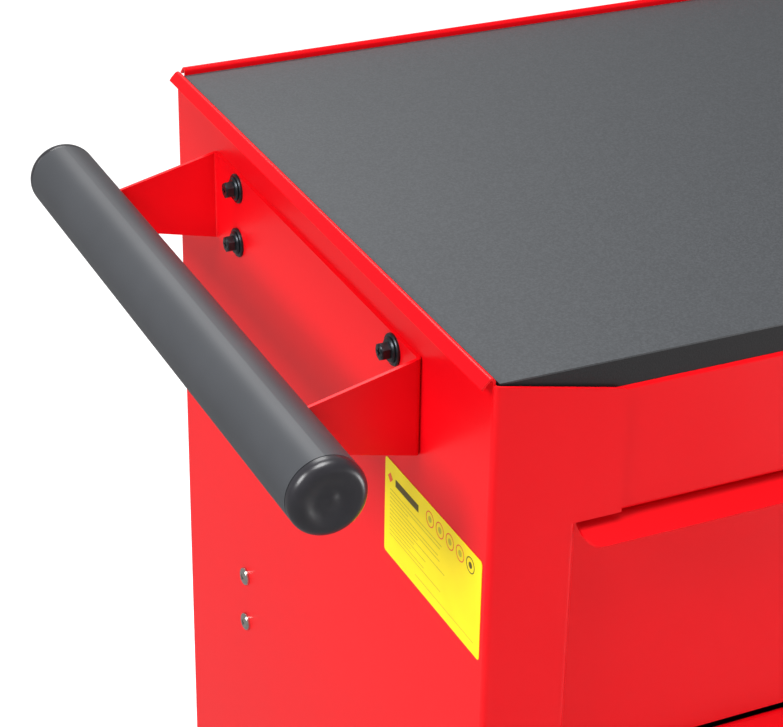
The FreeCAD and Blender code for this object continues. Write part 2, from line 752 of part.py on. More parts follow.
def caster_bolt(x, y, z):
    """Hexagon bolt up through the caster plate and the pan, with its nut inside."""
    under = z - caster_plate_t
    head = hexagon(caster_bolt_af, (x, y, under - caster_bolt_head_t), (x, y, under))
    shank = rod(caster_bolt_r, (x, y, under), (x, y, under + caster_bolt_len + 1))
    nut = hexagon(caster_bolt_af, (x, y, z + sheet), (x, y, z + sheet + nut_t))
    nut = nut.cut(rod(caster_bolt_r, (x, y, z), (x, y, z + 20)))
    return [fuse([head, shank]), nut]


def swivel_plate(x, y):
    """Top plate with the upper race and the kingpin that the fork turns on."""
    race_top = bottom - caster_plate_t
    race_low = race_top - race_t
    crown_low = race_low - race_clear - crown_t
    head_top = crown_low - race_clear / 2
    race = rod(race_r, (x, y, race_low), (x, y, race_top))
    pin = rod(kingpin_r, (x, y, head_top), (x, y, race_low))
    head = rod(kingpin_head_r, (x, y, head_top - kingpin_head_t), (x, y, head_top))
    return fuse([caster_plate(x, y), race, pin, head])


def fork_leg(x, y, crown_low, crown_top):
    """A fork leg in Y and Z: from the crown forward and down to the axle, with an ear for the pedal's pin."""
    axle_y = y - trail
    ear_y = axle_y - pedal_back - ear_r
    ear_z = wheel_r + pedal_up - ear_r
    half = race_r - leg_setback
    points = [(y + half, crown_low), (y + half, crown_top), (ear_y, crown_top), (ear_y, ear_z)]
    points += [(axle_y - leg_boss_r, wheel_r), (axle_y - leg_boss_r / 2, wheel_r - leg_boss_r)]
    points += [(axle_y + leg_boss_r / 2, wheel_r - leg_boss_r), (axle_y + leg_boss_r, wheel_r)]
    return plate("X", (x, x + leg_t), points, [leg_corner_r, 0] + [leg_turn_r] * 6)


def swivel_fork(x, y):
    """Crown on the kingpin with two legs, which stand with the wheel trailing to the front."""
    race_low = bottom - caster_plate_t - race_t
    crown_top = race_low - race_clear
    crown_low = crown_top - crown_t
    crown = rod(race_r, (x, y, crown_low), (x, y, crown_top))
    bridge = box((x - fork_half - leg_t, x + fork_half + leg_t),
                 (y - race_r + leg_setback, y + race_r - leg_setback), (crown_top - leg_t, crown_top))
    parts = [crown, bridge]
    for x0 in (x - fork_half - leg_t, x + fork_half):
        parts.append(fork_leg(x0, y, crown_low, crown_top))
    fork = fuse(parts)
    fork = fork.cut(rod(kingpin_r + running_gap, (x, y, crown_low - 1), (x, y, crown_top + 1)))
    wide = fork_half + leg_t + 1
    axle_y = y - trail
    fork = fork.cut(rod(axle_r, (x - wide, axle_y, wheel_r), (x + wide, axle_y, wheel_r)))
    pedal_y = axle_y - pedal_back
    pedal_z = wheel_r + pedal_up
    hole = rod(pedal_pin_r + running_gap, (x - wide, pedal_y, pedal_z), (x + wide, pedal_y, pedal_z))
    return fork.cut(hole)


def brake_pedal(x, y):
    """Foot pedal on a cross pin through the fork's legs, shown released."""
    py = y - trail - pedal_back
    pz = wheel_r + pedal_up
    inner = fork_half - leg_gap / 2
    wide = fork_half + leg_t + pedal_pin_over
    pin = rod(pedal_pin_r, (x - wide, py, pz), (x + wide, py, pz))
    barrel = rod(pedal_pin_r + pedal_wall, (x - inner, py, pz), (x + inner, py, pz))
    band = (pz - pedal_t / 2, pz + pedal_t / 2)
    arm = box((x - inner, x + inner), (py - pedal_arm - 1, py), band)
    half = pedal_w / 2
    far = py - pedal_l
    points = [(x - half, py - pedal_arm), (x - half, far), (x + half, far), (x + half, py - pedal_arm)]
    tread = plate("Z", band, points, [0, pedal_r, pedal_r, 0])
    return fuse([pin, barrel, arm, tread])


def fixed_bracket(x, y):
    """Top plate with two legs welded on, for a wheel that runs along X."""
    solids = [caster_plate(x, y)]
    high = bottom - caster_plate_t
    for y0 in (y - fork_half - leg_t, y + fork_half):
        points = [(x - leg_root, high), (x - leg_boss_r, wheel_r), (x - leg_boss_r, wheel_r - leg_boss_r)]
        points += [(x + leg_boss_r, wheel_r - leg_boss_r), (x + leg_boss_r, wheel_r), (x + leg_root, high)]
        leg = plate("Y", (y0, y0 + leg_t), points, [0] + [leg_round] * 4 + [0])
        solids.append(leg.cut(rod(axle_r, (x, y0 - 1, wheel_r), (x, y0 + leg_t + 1, wheel_r))))
    return solids


def axle(x, y, along):
    """Axle bolt with its head and nut outside the two legs. along is "X" or "Y"."""
    out = fork_half + leg_t
    ends = []
    for reach in (-out - axle_head_t, -out, out, out + axle_head_t):
        ends.append((x + reach, y, wheel_r) if along == "X" else (x, y + reach, wheel_r))
    head = rod(axle_head_r, ends[0], ends[1])
    nut = rod(axle_head_r, ends[2], ends[3])
    return fuse([head, rod(axle_r, ends[1], ends[2]), nut])


def wheel(x, y, along):
    """Core with hub and running bore, and the tyre round it."""
    def disc(radius, width):
        a = (x - width / 2, y, wheel_r) if along == "X" else (x, y - width / 2, wheel_r)
        b = (x + width / 2, y, wheel_r) if along == "X" else (x, y + width / 2, wheel_r)
        return rod(radius, a, b)

    core = disc(core_r, core_w)
    web = disc(core_r - core_rim, core_w + 2).cut(disc(core_r - core_rim, core_web))
    core = core.cut(web)
    core = fuse([core, disc(hub_r, hub_l)]).cut(disc(axle_r + running_gap, hub_l + 2))
    tread = disc(wheel_r, wheel_w)
    tread = tread.makeFillet(tyre_shoulder_r, [e for e in tread.Edges if e.Length > 4 * wheel_r])
    groove = disc(core_r, wheel_w + 2)
    return core, tread.cut(groove)


def all_nodes():
    """Every sub-part: node name to its list of solids."""
    swivel, fixed = caster_places()
    slides = [slide_members(k) for k in range(drawer_count)]
    nodes = {
        "left_side_panel": left_side(),
        "right_side_panel": right_side(),
        "back_panel": [back_panel()],
        "bottom_pan": [bottom_pan()],
        "top_rail": [top_rail()],
        "top_deck": [top_deck()],
        "worktop_board": [worktop_layer(rail_top, board_top)],
        "worktop_mat": [worktop_layer(board_top, mat_top)],
        "rear_uprights": [rear_upright(), mirrored(rear_upright())],
        "handle_bracket": [handle_bracket()],
        "handle_tube": [handle_tube()],
        "handle_grip": [handle_grip()],
        "grip_end_caps": [grip_cap(grip_y0, -1), grip_cap(grip_y1, 1)],
        "handle_bolts": [s for y in bolt_ys for z in bolt_zs for s in handle_bolt(y, z)],
        "handle_washers": [handle_washer(y, z) for y in bolt_ys for z in bolt_zs],
        "side_label": [side_label()],
        "lock_housing": [lock_housing()],
        "lock_cylinder": lock_plug(),
        "lock_bar": lock_bar(),
        "lock_bar_guides": bar_guides(),
        "swivel_caster_plates": [swivel_plate(x, y) for x, y in swivel],
        "fixed_caster_brackets": [s for x, y in fixed for s in fixed_bracket(x, y)],
        "fixed_caster_axles": [axle(x, y, "Y") for x, y in fixed],
        "caster_bolts": [s for place in caster_bolt_places() for s in caster_bolt(*place)],
    }
    screws = [side_screw(y, z) for y, z in screw_places()]
    nodes["side_screws"] = screws + [mirrored(s) for s in screws]
    nodes["slide_outer_members"] = [s for m in slides for s in (m[0], mirrored(m[0]))]
    for k in range(drawer_count):
        name = str(k + 1)
        nodes["drawer_front_" + name] = drawer_front(k)
        nodes["drawer_box_" + name] = drawer_box(k)
        nodes["drawer_liner_" + name] = [drawer_liner(k)]
        nodes["slide_middle_" + name] = [slides[k][1], mirrored(slides[k][1])]
        nodes["slide_inner_" + name] = [slides[k][2], mirrored(slides[k][2])]
    for name, (x, y) in zip(("front", "rear"), swivel):
        nodes["swivel_fork_" + name] = [swivel_fork(x, y)]
        nodes["swivel_axle_" + name] = [axle(x, y - trail, "X")]
        nodes["brake_pedal_" + name] = [brake_pedal(x, y)]
        core, tyre = wheel(x, y - trail, "X")
        nodes["wheel_core_left_" + name] = [core]
        nodes["wheel_tyre_left_" + name] = [tyre]
    for name, (x, y) in zip(("front", "rear"), fixed):
        core, tyre = wheel(x, y, "Y")
        nodes["wheel_core_right_" + name] = [core]
        nodes["wheel_tyre_right_" + name] = [tyre]
    return nodes


def main():
    os.makedirs("parts", exist_ok=True)
    for name, solids in all_nodes().items():
        shape = Part.makeCompound(solids) if len(solids) > 1 else solids[0]
        shape.translate(to_origin)
        shape.exportStep("parts/" + name + ".step")


if __name__ == "__main__":
    main()
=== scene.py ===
import math

import bmesh
import bpy
from mathutils import Matrix, Vector


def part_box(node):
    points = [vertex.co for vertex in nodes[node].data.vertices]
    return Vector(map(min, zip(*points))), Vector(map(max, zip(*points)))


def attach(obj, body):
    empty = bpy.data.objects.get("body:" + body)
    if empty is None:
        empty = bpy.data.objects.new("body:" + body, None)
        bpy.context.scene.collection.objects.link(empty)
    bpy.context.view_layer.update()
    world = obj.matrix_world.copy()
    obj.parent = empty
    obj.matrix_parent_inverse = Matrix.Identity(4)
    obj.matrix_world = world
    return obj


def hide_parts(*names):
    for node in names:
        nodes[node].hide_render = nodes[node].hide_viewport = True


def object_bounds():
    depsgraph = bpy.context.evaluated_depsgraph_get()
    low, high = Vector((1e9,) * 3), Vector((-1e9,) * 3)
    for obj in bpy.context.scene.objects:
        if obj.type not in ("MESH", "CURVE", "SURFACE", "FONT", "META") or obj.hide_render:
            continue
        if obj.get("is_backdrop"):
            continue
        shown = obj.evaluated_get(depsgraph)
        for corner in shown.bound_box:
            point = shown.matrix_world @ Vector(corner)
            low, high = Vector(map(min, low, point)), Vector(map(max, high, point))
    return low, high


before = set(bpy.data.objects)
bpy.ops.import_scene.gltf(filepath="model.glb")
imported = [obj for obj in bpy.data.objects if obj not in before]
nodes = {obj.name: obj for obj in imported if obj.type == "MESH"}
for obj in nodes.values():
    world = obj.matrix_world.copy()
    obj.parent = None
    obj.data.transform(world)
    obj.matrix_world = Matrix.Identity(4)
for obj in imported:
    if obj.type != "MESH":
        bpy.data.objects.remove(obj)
cad_low, cad_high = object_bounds()
scene = bpy.context.scene


# The view: a long lens just off the left front corner, looking down on the worktop and the handle.
# The camera leans by a degree, as a hand-held one does.
lens_mm = 109.08
view_turn = math.radians(25.08)
view_fall = math.radians(28.23)
view_lean = math.radians(0.93)
eye = Vector((-0.6885, -0.9919, 1.2974))

camera = bpy.data.objects.new("camera", bpy.data.cameras.new("camera"))
camera.data.lens = lens_mm
camera.data.clip_start = 0.05
camera.data.clip_end = 100
facing = Matrix.Rotation(-view_turn, 3, "Z") @ Matrix.Rotation(math.pi / 2 - view_fall, 3, "X")
facing = facing @ Matrix.Rotation(view_lean, 3, "Z")
camera.matrix_world = Matrix.Translation(eye) @ facing.to_4x4()
scene.collection.objects.link(camera)
scene.camera = camera
scene.view_settings.view_transform = "Standard"


# The studio: a plain white floor and soft boxes round the chest, with a dim, even surround.
# The floor isn't mirrored in the glossy paint, as a floor of matt paper hardly is.
floor_half = 40.0
paper_glow = 0.35            # the paper is lit from behind a little, so it stays white
surround_light = 0.34
aim_drop = 0.15             # metres: where the boxes point, below the top of the case
soft_boxes = {
    "left_box": ((-2.7, -0.4, 2.5), 1.2, 88),
    "right_box": ((1.0, -1.0, 0.35), 0.5, 10),
    "top_box": ((-0.3, -0.3, 1.95), 0.6, 18),
    "rear_box": ((0.4, 3.2, 3.8), 1.6, 60),
}


def linear(colour):
    """A "#rrggbb" colour as the linear RGBA that a shader takes."""
    parts = [int(colour[i:i + 2], 16) / 255 for i in (1, 3, 5)]
    return [p / 12.92 if p <= 0.04045 else ((p + 0.055) / 1.055) ** 2.4 for p in parts] + [1.0]


def add(tree, kind, inputs=(), **settings):
    """A node with its settings, and its inputs by name or number: a value, or the socket that feeds it."""
    made = tree.nodes.new(kind)
    for name, value in settings.items():
        setattr(made, name, value)
    for name, value in dict(inputs).items():
        if isinstance(value, bpy.types.NodeSocket):
            tree.links.new(value, made.inputs[name])
        else:
            made.inputs[name].default_value = value
    return made


def new_finish(name):
    """An empty material and its tree, to be ended by its own shader."""
    material = bpy.data.materials.new(name)
    material.use_nodes = True
    material.node_tree.nodes.clear()
    return material, material.node_tree


def end_finish(tree, shader):
    add(tree, "ShaderNodeOutputMaterial", {"Surface": shader.outputs["BSDF"]})


def show(name, mesh):
    """A mesh as an object in the scene."""
    piece = bpy.data.objects.new(name, mesh)
    scene.collection.objects.link(piece)
    return piece


paper, tree = new_finish("white_studio_paper")
end_finish(tree, add(tree, "ShaderNodeBsdfPrincipled", {"Base Color": linear("#f6f6f6"), "Roughness": 0.9,
                                                       "Specular IOR Level": 0.1,
                                                       "Emission Color": linear("#ffffff"),
                                                       "Emission Strength": paper_glow}))
floor_mesh = bpy.data.meshes.new("floor")
corners = [(-floor_half, -floor_half, 0), (floor_half, -floor_half, 0),
           (floor_half, floor_half, 0), (-floor_half, floor_half, 0)]
floor_mesh.from_pydata(corners, [], [(0, 1, 2, 3)])
floor_mesh.materials.append(paper)
floor = show("floor", floor_mesh)
floor.visible_glossy = False
floor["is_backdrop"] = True

surround = bpy.data.worlds.new("surround")
surround.use_nodes = True
surround.node_tree.nodes["Background"].inputs["Color"].default_value = (1.0, 1.0, 1.0, 1.0)
surround.node_tree.nodes["Background"].inputs["Strength"].default_value = surround_light
scene.world = surround

aim_point = Vector((0.0, 0.0, cad_high.z - aim_drop))
for name, (place, side, power) in soft_boxes.items():
    box_light = bpy.data.lights.new(name, "AREA")
    box_light.shape = "SQUARE"
    box_light.size = side
    box_light.energy = power
    holder = bpy.data.objects.new(name, box_light)
    aim = (aim_point - Vector(place)).to_track_quat("-Z", "Y")
    holder.matrix_world = Matrix.Translation(place) @ aim.to_matrix().to_4x4()
    scene.collection.objects.link(holder)


# The case, its drawer fronts and boxes, and the handle's bracket: folded sheet steel.
# All are powder coated in one semi-gloss red after folding.
coat_deep = "#d40510"
coat_bright = "#de0814"
coat_drift = 0.12           # metres from one shade of the film to the next
peel_size = 0.0030          # metres across one cell of the film's orange peel, drawn coarser than its 1 mm

powder_coat, tree = new_finish("red_powder_coat_on_steel")
place = add(tree, "ShaderNodeTexCoord").outputs["Object"]
drift = add(tree, "ShaderNodeTexNoise", {"Vector": place, "Scale": 1 / coat_drift, "Detail": 2.0})
shade = add(tree, "ShaderNodeMix", {0: drift.outputs["Fac"], 6: linear(coat_deep), 7: linear(coat_bright)},
            data_type="RGBA")
peel = add(tree, "ShaderNodeTexNoise", {"Vector": place, "Scale": 1 / peel_size, "Detail": 1.0})
film = add(tree, "ShaderNodeBump", {"Height": peel.outputs["Fac"], "Strength": 0.05, "Distance": 0.0003})
gloss = add(tree, "ShaderNodeMapRange", {"Value": drift.outputs["Fac"], "To Min": 0.26, "To Max": 0.34})
end_finish(tree, add(tree, "ShaderNodeBsdfPrincipled", {
    "Base Color": shade.outputs[2], "Roughness": gloss.outputs["Result"], "Specular IOR Level": 0.14,
    "Normal": film.outputs["Normal"]}))


def dress(material, *names):
    """The material on CAD nodes, whose shapes stay as they are."""
    for name in names:
        for i in range(len(nodes[name].material_slots)):
            nodes[name].material_slots[i].material = material


drawer_numbers = sorted(int(name.split("_")[-1]) for name in nodes if name.startswith("drawer_front_"))
dress(powder_coat, "left_side_panel", "right_side_panel", "back_panel", "bottom_pan", "top_rail", "top_deck",
      "handle_bracket")
for k in drawer_numbers:
    dress(powder_coat, f"drawer_front_{k}", f"drawer_box_{k}")


# The rear uprights, telescopic slides, lock bar and handle tube: rolled or drawn steel, bright zinc plated.
# The plating is pale and a little cloudy, with faint lines left along the length by the rollers.
zinc_pale = "#cfd2d6"
zinc_dull = "#a9adb3"
cloud_size = 0.018          # metres across one cloud of the plating
roller_line = 0.0012        # metres between roller lines

zinc_plate, tree = new_finish("bright_zinc_plated_steel")
place = add(tree, "ShaderNodeTexCoord").outputs["Object"]
cloud = add(tree, "ShaderNodeTexNoise", {"Vector": place, "Scale": 1 / cloud_size, "Detail": 4.0})
shade = add(tree, "ShaderNodeMix", {0: cloud.outputs["Fac"], 6: linear(zinc_dull), 7: linear(zinc_pale)},
            data_type="RGBA")
stretched = add(tree, "ShaderNodeMapping", {"Vector": place, "Scale": (1.0, 0.03, 1.0)})
lines = add(tree, "ShaderNodeTexNoise", {"Vector": stretched.outputs["Vector"], "Scale": 1 / roller_line,
                                        "Detail": 2.0})
rounded = add(tree, "ShaderNodeBevel", {"Radius": 0.0004}, samples=4)
grooved = add(tree, "ShaderNodeBump", {"Height": lines.outputs["Fac"], "Normal": rounded.outputs["Normal"],
                                       "Strength": 0.12, "Distance": 0.0002})
dulled = add(tree, "ShaderNodeMapRange", {"Value": cloud.outputs["Fac"], "To Min": 0.42, "To Max": 0.26})
end_finish(tree, add(tree, "ShaderNodeBsdfPrincipled", {
    "Base Color": shade.outputs[2], "Metallic": 1.0, "Roughness": dulled.outputs["Result"],
    "Normal": grooved.outputs["Normal"]}))
dress(zinc_plate, "rear_uprights", "slide_outer_members", "lock_bar", "lock_bar_guides", "handle_tube")
for k in drawer_numbers:
    dress(zinc_plate, f"slide_inner_{k}", f"slide_middle_{k}")


# The drawer liners: closed-cell foam sheets with raised ribs, laid loose on the drawers' floors.
# The foam is charcoal, matt and finely pitted, and the ribs are moulded with it.
foam_cell = 0.0016          # metres across a cell
rib_pitch = 0.008
rib_width = 0.003
rib_height = 0.0006

foam, tree = new_finish("ribbed_polyethylene_foam")
place = add(tree, "ShaderNodeTexCoord").outputs["Object"]
cells = add(tree, "ShaderNodeTexVoronoi", {"Vector": place, "Scale": 1 / foam_cell})
shade = add(tree, "ShaderNodeMix", {0: cells.outputs["Distance"], 6: linear("#202226"), 7: linear("#383b40")},
            data_type="RGBA")
pits = add(tree, "ShaderNodeBump", {"Height": cells.outputs["Distance"], "Strength": 0.4, "Distance": 0.0003})
end_finish(tree, add(tree, "ShaderNodeBsdfPrincipled", {
    "Base Color": shade.outputs[2], "Roughness": 0.85, "Specular IOR Level": 0.3,
    "Normal": pits.outputs["Normal"]}))


def new_tree(name, sizes, objects=()):
    """A Geometry Nodes tree with named inputs for its sizes. Returns it with the group's input node."""
    made = bpy.data.node_groups.new(name, "GeometryNodeTree")
    made.interface.new_socket("Geometry", in_out="INPUT", socket_type="NodeSocketGeometry")
    made.interface.new_socket("Geometry", in_out="OUTPUT", socket_type="NodeSocketGeometry")
    for size in sizes:
        kind = "NodeSocketInt" if size == "Count" else "NodeSocketFloat"
        made.interface.new_socket(size, in_out="INPUT", socket_type=kind)
    for part in objects:
        made.interface.new_socket(part, in_out="INPUT", socket_type="NodeSocketObject")
    made.interface.new_socket("Turn", in_out="INPUT", socket_type="NodeSocketVector")
    made.interface.new_socket("Finish", in_out="INPUT", socket_type="NodeSocketMaterial")
    return made, add(made, "NodeGroupInput")


def end_tree(tree, given, result):
    """Makes the instances real and gives them their finish."""
    real = add(tree, "GeometryNodeRealizeInstances", {"Geometry": result})
    finished = add(tree, "GeometryNodeSetMaterial", {"Geometry": real.outputs["Geometry"],
                                                     "Material": given.outputs["Finish"]})
    add(tree, "NodeGroupOutput", {"Geometry": finished.outputs["Geometry"]})


def grown(name, tree, base, **values):
    """What a tree makes of a base mesh, as a plain mesh object."""
    maker = show(name + "_maker", base)
    modifier = maker.modifiers.new("grow", "NODES")
    modifier.node_group = tree
    for item in tree.interface.items_tree:
        key = item.name.lower().replace(" ", "_")
        if item.in_out == "INPUT" and key in values:
            modifier[item.identifier] = values[key]
    seen = maker.evaluated_get(bpy.context.evaluated_depsgraph_get())
    mesh = bpy.data.meshes.new_from_object(seen)
    bpy.data.objects.remove(maker)
    mesh.name = name
    return show(name, mesh)


def points_at(places):
    """A mesh of loose points."""
    made = bpy.data.meshes.new("points")
    made.from_pydata([tuple(p) for p in places], [], [])
    return made


bars, given = new_tree("bars_at_points", ["Length", "Width", "Height"])
size = add(bars, "ShaderNodeCombineXYZ", {"X": given.outputs["Length"], "Y": given.outputs["Width"],
                                         "Z": given.outputs["Height"]})
bar = add(bars, "GeometryNodeMeshCube", {"Size": size.outputs["Vector"]})
set_out = add(bars, "GeometryNodeInstanceOnPoints", {"Points": given.outputs["Geometry"],
                                                    "Instance": bar.outputs["Mesh"],
                                                    "Rotation": given.outputs["Turn"]})
end_tree(bars, given, set_out.outputs["Instances"])
for k in drawer_numbers:
    dress(foam, f"drawer_liner_{k}")
    low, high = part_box(f"drawer_liner_{k}")
    count = int((high.y - low.y - rib_pitch) / rib_pitch)
    start = (low.y + high.y) / 2 - (count - 1) * rib_pitch / 2
    places = [((low.x + high.x) / 2, start + i * rib_pitch, high.z + rib_height / 2) for i in range(count)]
    ribs = grown(f"liner_ribs_{k}", bars, points_at(places), length=high.x - low.x - 2 * rib_pitch,
                 width=rib_width, height=rib_height, finish=foam)
    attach(ribs, f"drawer_{k}")


# The worktop: a fibreboard slab stained black, with a thin embossed PVC mat bonded over it.
# The mat is charcoal with a fine matt grain that scatters a pale sheen, and its cut edges are darker.
mat_grey = "#26292d"
mat_fleck = "#34373b"
grain_size = 0.0011         # metres across one grain of the embossing, drawn coarser than its 0.5 mm
fibre_size = 0.0008
haze_scale = 7.0            # patches of haze per metre

mat, tree = new_finish("embossed_pvc_mat")
place = add(tree, "ShaderNodeTexCoord").outputs["Object"]
grain = add(tree, "ShaderNodeTexNoise", {"Vector": place, "Scale": 1 / grain_size, "Detail": 3.0,
                                        "Roughness": 0.7})
speck = add(tree, "ShaderNodeMapRange", {"Value": grain.outputs["Fac"], "From Min": 0.42, "From Max": 0.62})
shade = add(tree, "ShaderNodeMix", {0: speck.outputs["Result"], 6: linear(mat_grey), 7: linear(mat_fleck)},
            data_type="RGBA")
patch = add(tree, "ShaderNodeTexNoise", {"Vector": place, "Scale": haze_scale, "Detail": 2.0})
haze = add(tree, "ShaderNodeMapRange", {"Value": patch.outputs["Fac"], "To Min": 0.46, "To Max": 0.56})
embossed = add(tree, "ShaderNodeBump", {"Height": grain.outputs["Fac"], "Strength": 0.12,
                                        "Distance": 0.0003})
end_finish(tree, add(tree, "ShaderNodeBsdfPrincipled", {
    "Base Color": shade.outputs[2], "Roughness": haze.outputs["Result"], "Specular IOR Level": 0.6,
    "Normal": embossed.outputs["Normal"]}))

board, tree = new_finish("black_stained_fibreboard")
place = add(tree, "ShaderNodeTexCoord").outputs["Object"]
fibre = add(tree, "ShaderNodeTexNoise", {"Vector": place, "Scale": 1 / fibre_size, "Detail": 4.0})
shade = add(tree, "ShaderNodeMix", {0: fibre.outputs["Fac"], 6: linear("#131214"), 7: linear("#262527")},
            data_type="RGBA")
rough_cut = add(tree, "ShaderNodeBump", {"Height": fibre.outputs["Fac"], "Strength": 0.3,
                                         "Distance": 0.0003})
end_finish(tree, add(tree, "ShaderNodeBsdfPrincipled", {
    "Base Color": shade.outputs[2], "Roughness": 0.7, "Specular IOR Level": 0.3,
    "Normal": rough_cut.outputs["Normal"]}))
dress(mat, "worktop_mat")
dress(board, "worktop_board")


# The handle's sleeve: a foamed rubber tube pushed over the steel one, slotted where the wings pass in.
# Its skin is dark grey and satin, with a fine grain.
rubber_grey = "#3c3e42"
rubber_grain = 0.0009       # metres across one grain, drawn coarser than its 0.3 mm
blotch_scale = 24.0         # blotches per metre

grip_rubber, tree = new_finish("satin_foamed_rubber")
place = add(tree, "ShaderNodeTexCoord").outputs["Object"]
skin = add(tree, "ShaderNodeTexNoise", {"Vector": place, "Scale": 1 / rubber_grain, "Detail": 3.0})
blotch = add(tree, "ShaderNodeTexNoise", {"Vector": place, "Scale": blotch_scale, "Detail": 2.0})
shade = add(tree, "ShaderNodeMix", {0: blotch.outputs["Fac"], 6: linear("#323438"), 7: linear(rubber_grey)},
            data_type="RGBA")
grained = add(tree, "ShaderNodeBump", {"Height": skin.outputs["Fac"], "Strength": 0.10,
                                       "Distance": 0.0002})
end_finish(tree, add(tree, "ShaderNodeBsdfPrincipled", {
    "Base Color": shade.outputs[2], "Roughness": 0.48, "Specular IOR Level": 0.55,
    "Normal": grained.outputs["Normal"]}))
dress(grip_rubber, "handle_grip")


# The sleeve's end caps: moulded black polyethylene, pushed into the tube's ends.
# Each has a full round edge, then a shallow dish with a low dome in its middle.
cap_edge_r = 0.0052
dish_depth = 0.0013
dome_r = 0.0060
dome_rise = 0.0009
edge_steps = 10
ring_steps = 96
plug_share = 0.8            # cap's plug over the tube's radius
seat_chamfer = 0.0006
flow_scale = 160.0          # flow marks per metre
crease = math.radians(32)   # a turned piece's edges are sharp past this

cap_plastic, tree = new_finish("moulded_black_polyethylene")
place = add(tree, "ShaderNodeTexCoord").outputs["Object"]
flow = add(tree, "ShaderNodeTexNoise", {"Vector": place, "Scale": flow_scale, "Detail": 3.0})
shade = add(tree, "ShaderNodeMix", {0: flow.outputs["Fac"], 6: linear("#1c1b1f"), 7: linear("#2a292e")},
            data_type="RGBA")
skin_gloss = add(tree, "ShaderNodeMapRange", {"Value": flow.outputs["Fac"], "To Min": 0.24, "To Max": 0.36})
dimple = add(tree, "ShaderNodeBump", {"Height": flow.outputs["Fac"], "Strength": 0.05, "Distance": 0.0004})
end_finish(tree, add(tree, "ShaderNodeBsdfPrincipled", {
    "Base Color": shade.outputs[2], "Roughness": skin_gloss.outputs["Result"],
    "Normal": dimple.outputs["Normal"]}))


def turned(outline, steps, closed=False, flats=()):
    """A mesh turned about X from an outline of (place, radius). Points numbered in flats are hexagonal."""
    shape = bmesh.new()
    rings = []
    for number, (x, radius) in enumerate(outline):
        ring = []
        for i in range(steps if radius > 0 else 1):
            angle = 2 * math.pi * i / steps
            reach = radius
            if number in flats:
                reach = radius / math.cos((angle + math.pi / 6) % (math.pi / 3) - math.pi / 6)
            ring.append(shape.verts.new((x, reach * math.cos(angle), reach * math.sin(angle))))
        rings.append(ring)
    if closed:
        rings.append(rings[0])
    for a, b in zip(rings, rings[1:]):
        for i in range(steps):
            j = (i + 1) % steps
            corners = dict.fromkeys([a[i % len(a)], a[j % len(a)], b[j % len(b)], b[i % len(b)]])
            shape.faces.new(list(corners))
    bmesh.ops.recalc_face_normals(shape, faces=shape.faces)
    mesh = bpy.data.meshes.new("turned")
    shape.to_mesh(mesh)
    shape.free()
    for face in mesh.polygons:
        face.use_smooth = True
    mesh.set_sharp_from_angle(angle=crease)
    return mesh


def placed(mesh, place, axis="X", turn=0.0):
    """Moves a mesh turned about X to its place, with its X along the given axis."""
    lay = {"X": Matrix.Identity(4), "Y": Matrix.Rotation(math.pi / 2, 4, "Z"),
           "-Y": Matrix.Rotation(-math.pi / 2, 4, "Z"), "-X": Matrix.Rotation(math.pi, 4, "Z")}
    mesh.transform(Matrix.Translation(place) @ lay[axis] @ Matrix.Rotation(turn, 4, "X"))
    return mesh


grip_low, grip_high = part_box("handle_grip")
caps_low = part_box("grip_end_caps")[0]
tube_low, tube_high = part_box("handle_tube")
grip_r = (grip_high.x - grip_low.x) / 2
tube_r = (tube_high.x - tube_low.x) / 2
grip_x = (grip_high.x + grip_low.x) / 2
grip_z = (grip_high.z + grip_low.z) / 2
cap_length = grip_low.y - caps_low.y
for side, seat, axis in (("front", grip_low.y, "-Y"), ("rear", grip_high.y, "Y")):
    outline = [(-cap_length, 0.0), (-cap_length, tube_r * plug_share), (0.0, tube_r * plug_share),
               (0.0, grip_r - seat_chamfer), (seat_chamfer, grip_r)]
    round_start = cap_length - cap_edge_r
    for i in range(edge_steps + 1):
        angle = math.pi / 2 * i / edge_steps
        outline.append((round_start + cap_edge_r * math.sin(angle),
                        grip_r - cap_edge_r + cap_edge_r * math.cos(angle)))
    for i in range(1, edge_steps + 1):
        share = i / edge_steps
        fall = dish_depth * (1 - math.cos(math.pi * share)) / 2
        outline.append((cap_length - fall, grip_r - cap_edge_r + (dome_r - grip_r + cap_edge_r) * share))
    for i in range(1, edge_steps + 1):
        share = i / edge_steps
        rise = dome_rise * (1 - math.cos(math.pi * share)) / 2
        outline.append((cap_length - dish_depth + rise, dome_r * (1 - share)))
    cap = show(f"grip_cap_{side}", placed(turned(outline, ring_steps), (grip_x, seat, grip_z), axis))
    cap.data.materials.append(cap_plastic)
    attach(cap, "cabinet")
    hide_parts("grip_end_caps")


# The handle's fixings: M5 flange bolts with recessed hexagon heads over plain washers, nutted inside.
# Steel blackened by hot oxide and oiled, so nearly black, with sharp glints along its edges.
washer_low, washer_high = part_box("handle_washers")
bolt_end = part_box("handle_bolts")[1].x - washer_high.x
washer_t = washer_high.x - washer_low.x
washer_r = 0.0081
flange_r = 0.0064
flange_t = 0.0014
head_apothem = 0.004
head_h = 0.0046
nut_h = 0.0047
shank_r = 0.0025
shank_over = 0.001          # metres: shank past its nut
oil_scale = 420.0           # patches of oil per metre
chamfer = 0.0005
head_crown = 0.9            # share of the head's radius left at its end
flange_crown = 0.86
nut_crown = 0.93
hex_steps = 36
disc_steps = 48
bolt_recess = (0.0018, 0.0028, 0.0011)      # depth, reach and width of the cross
bolt_ys = (washer_low.y + washer_r, washer_high.y - washer_r)
bolt_zs = (washer_low.z + washer_r, washer_high.z - washer_r)

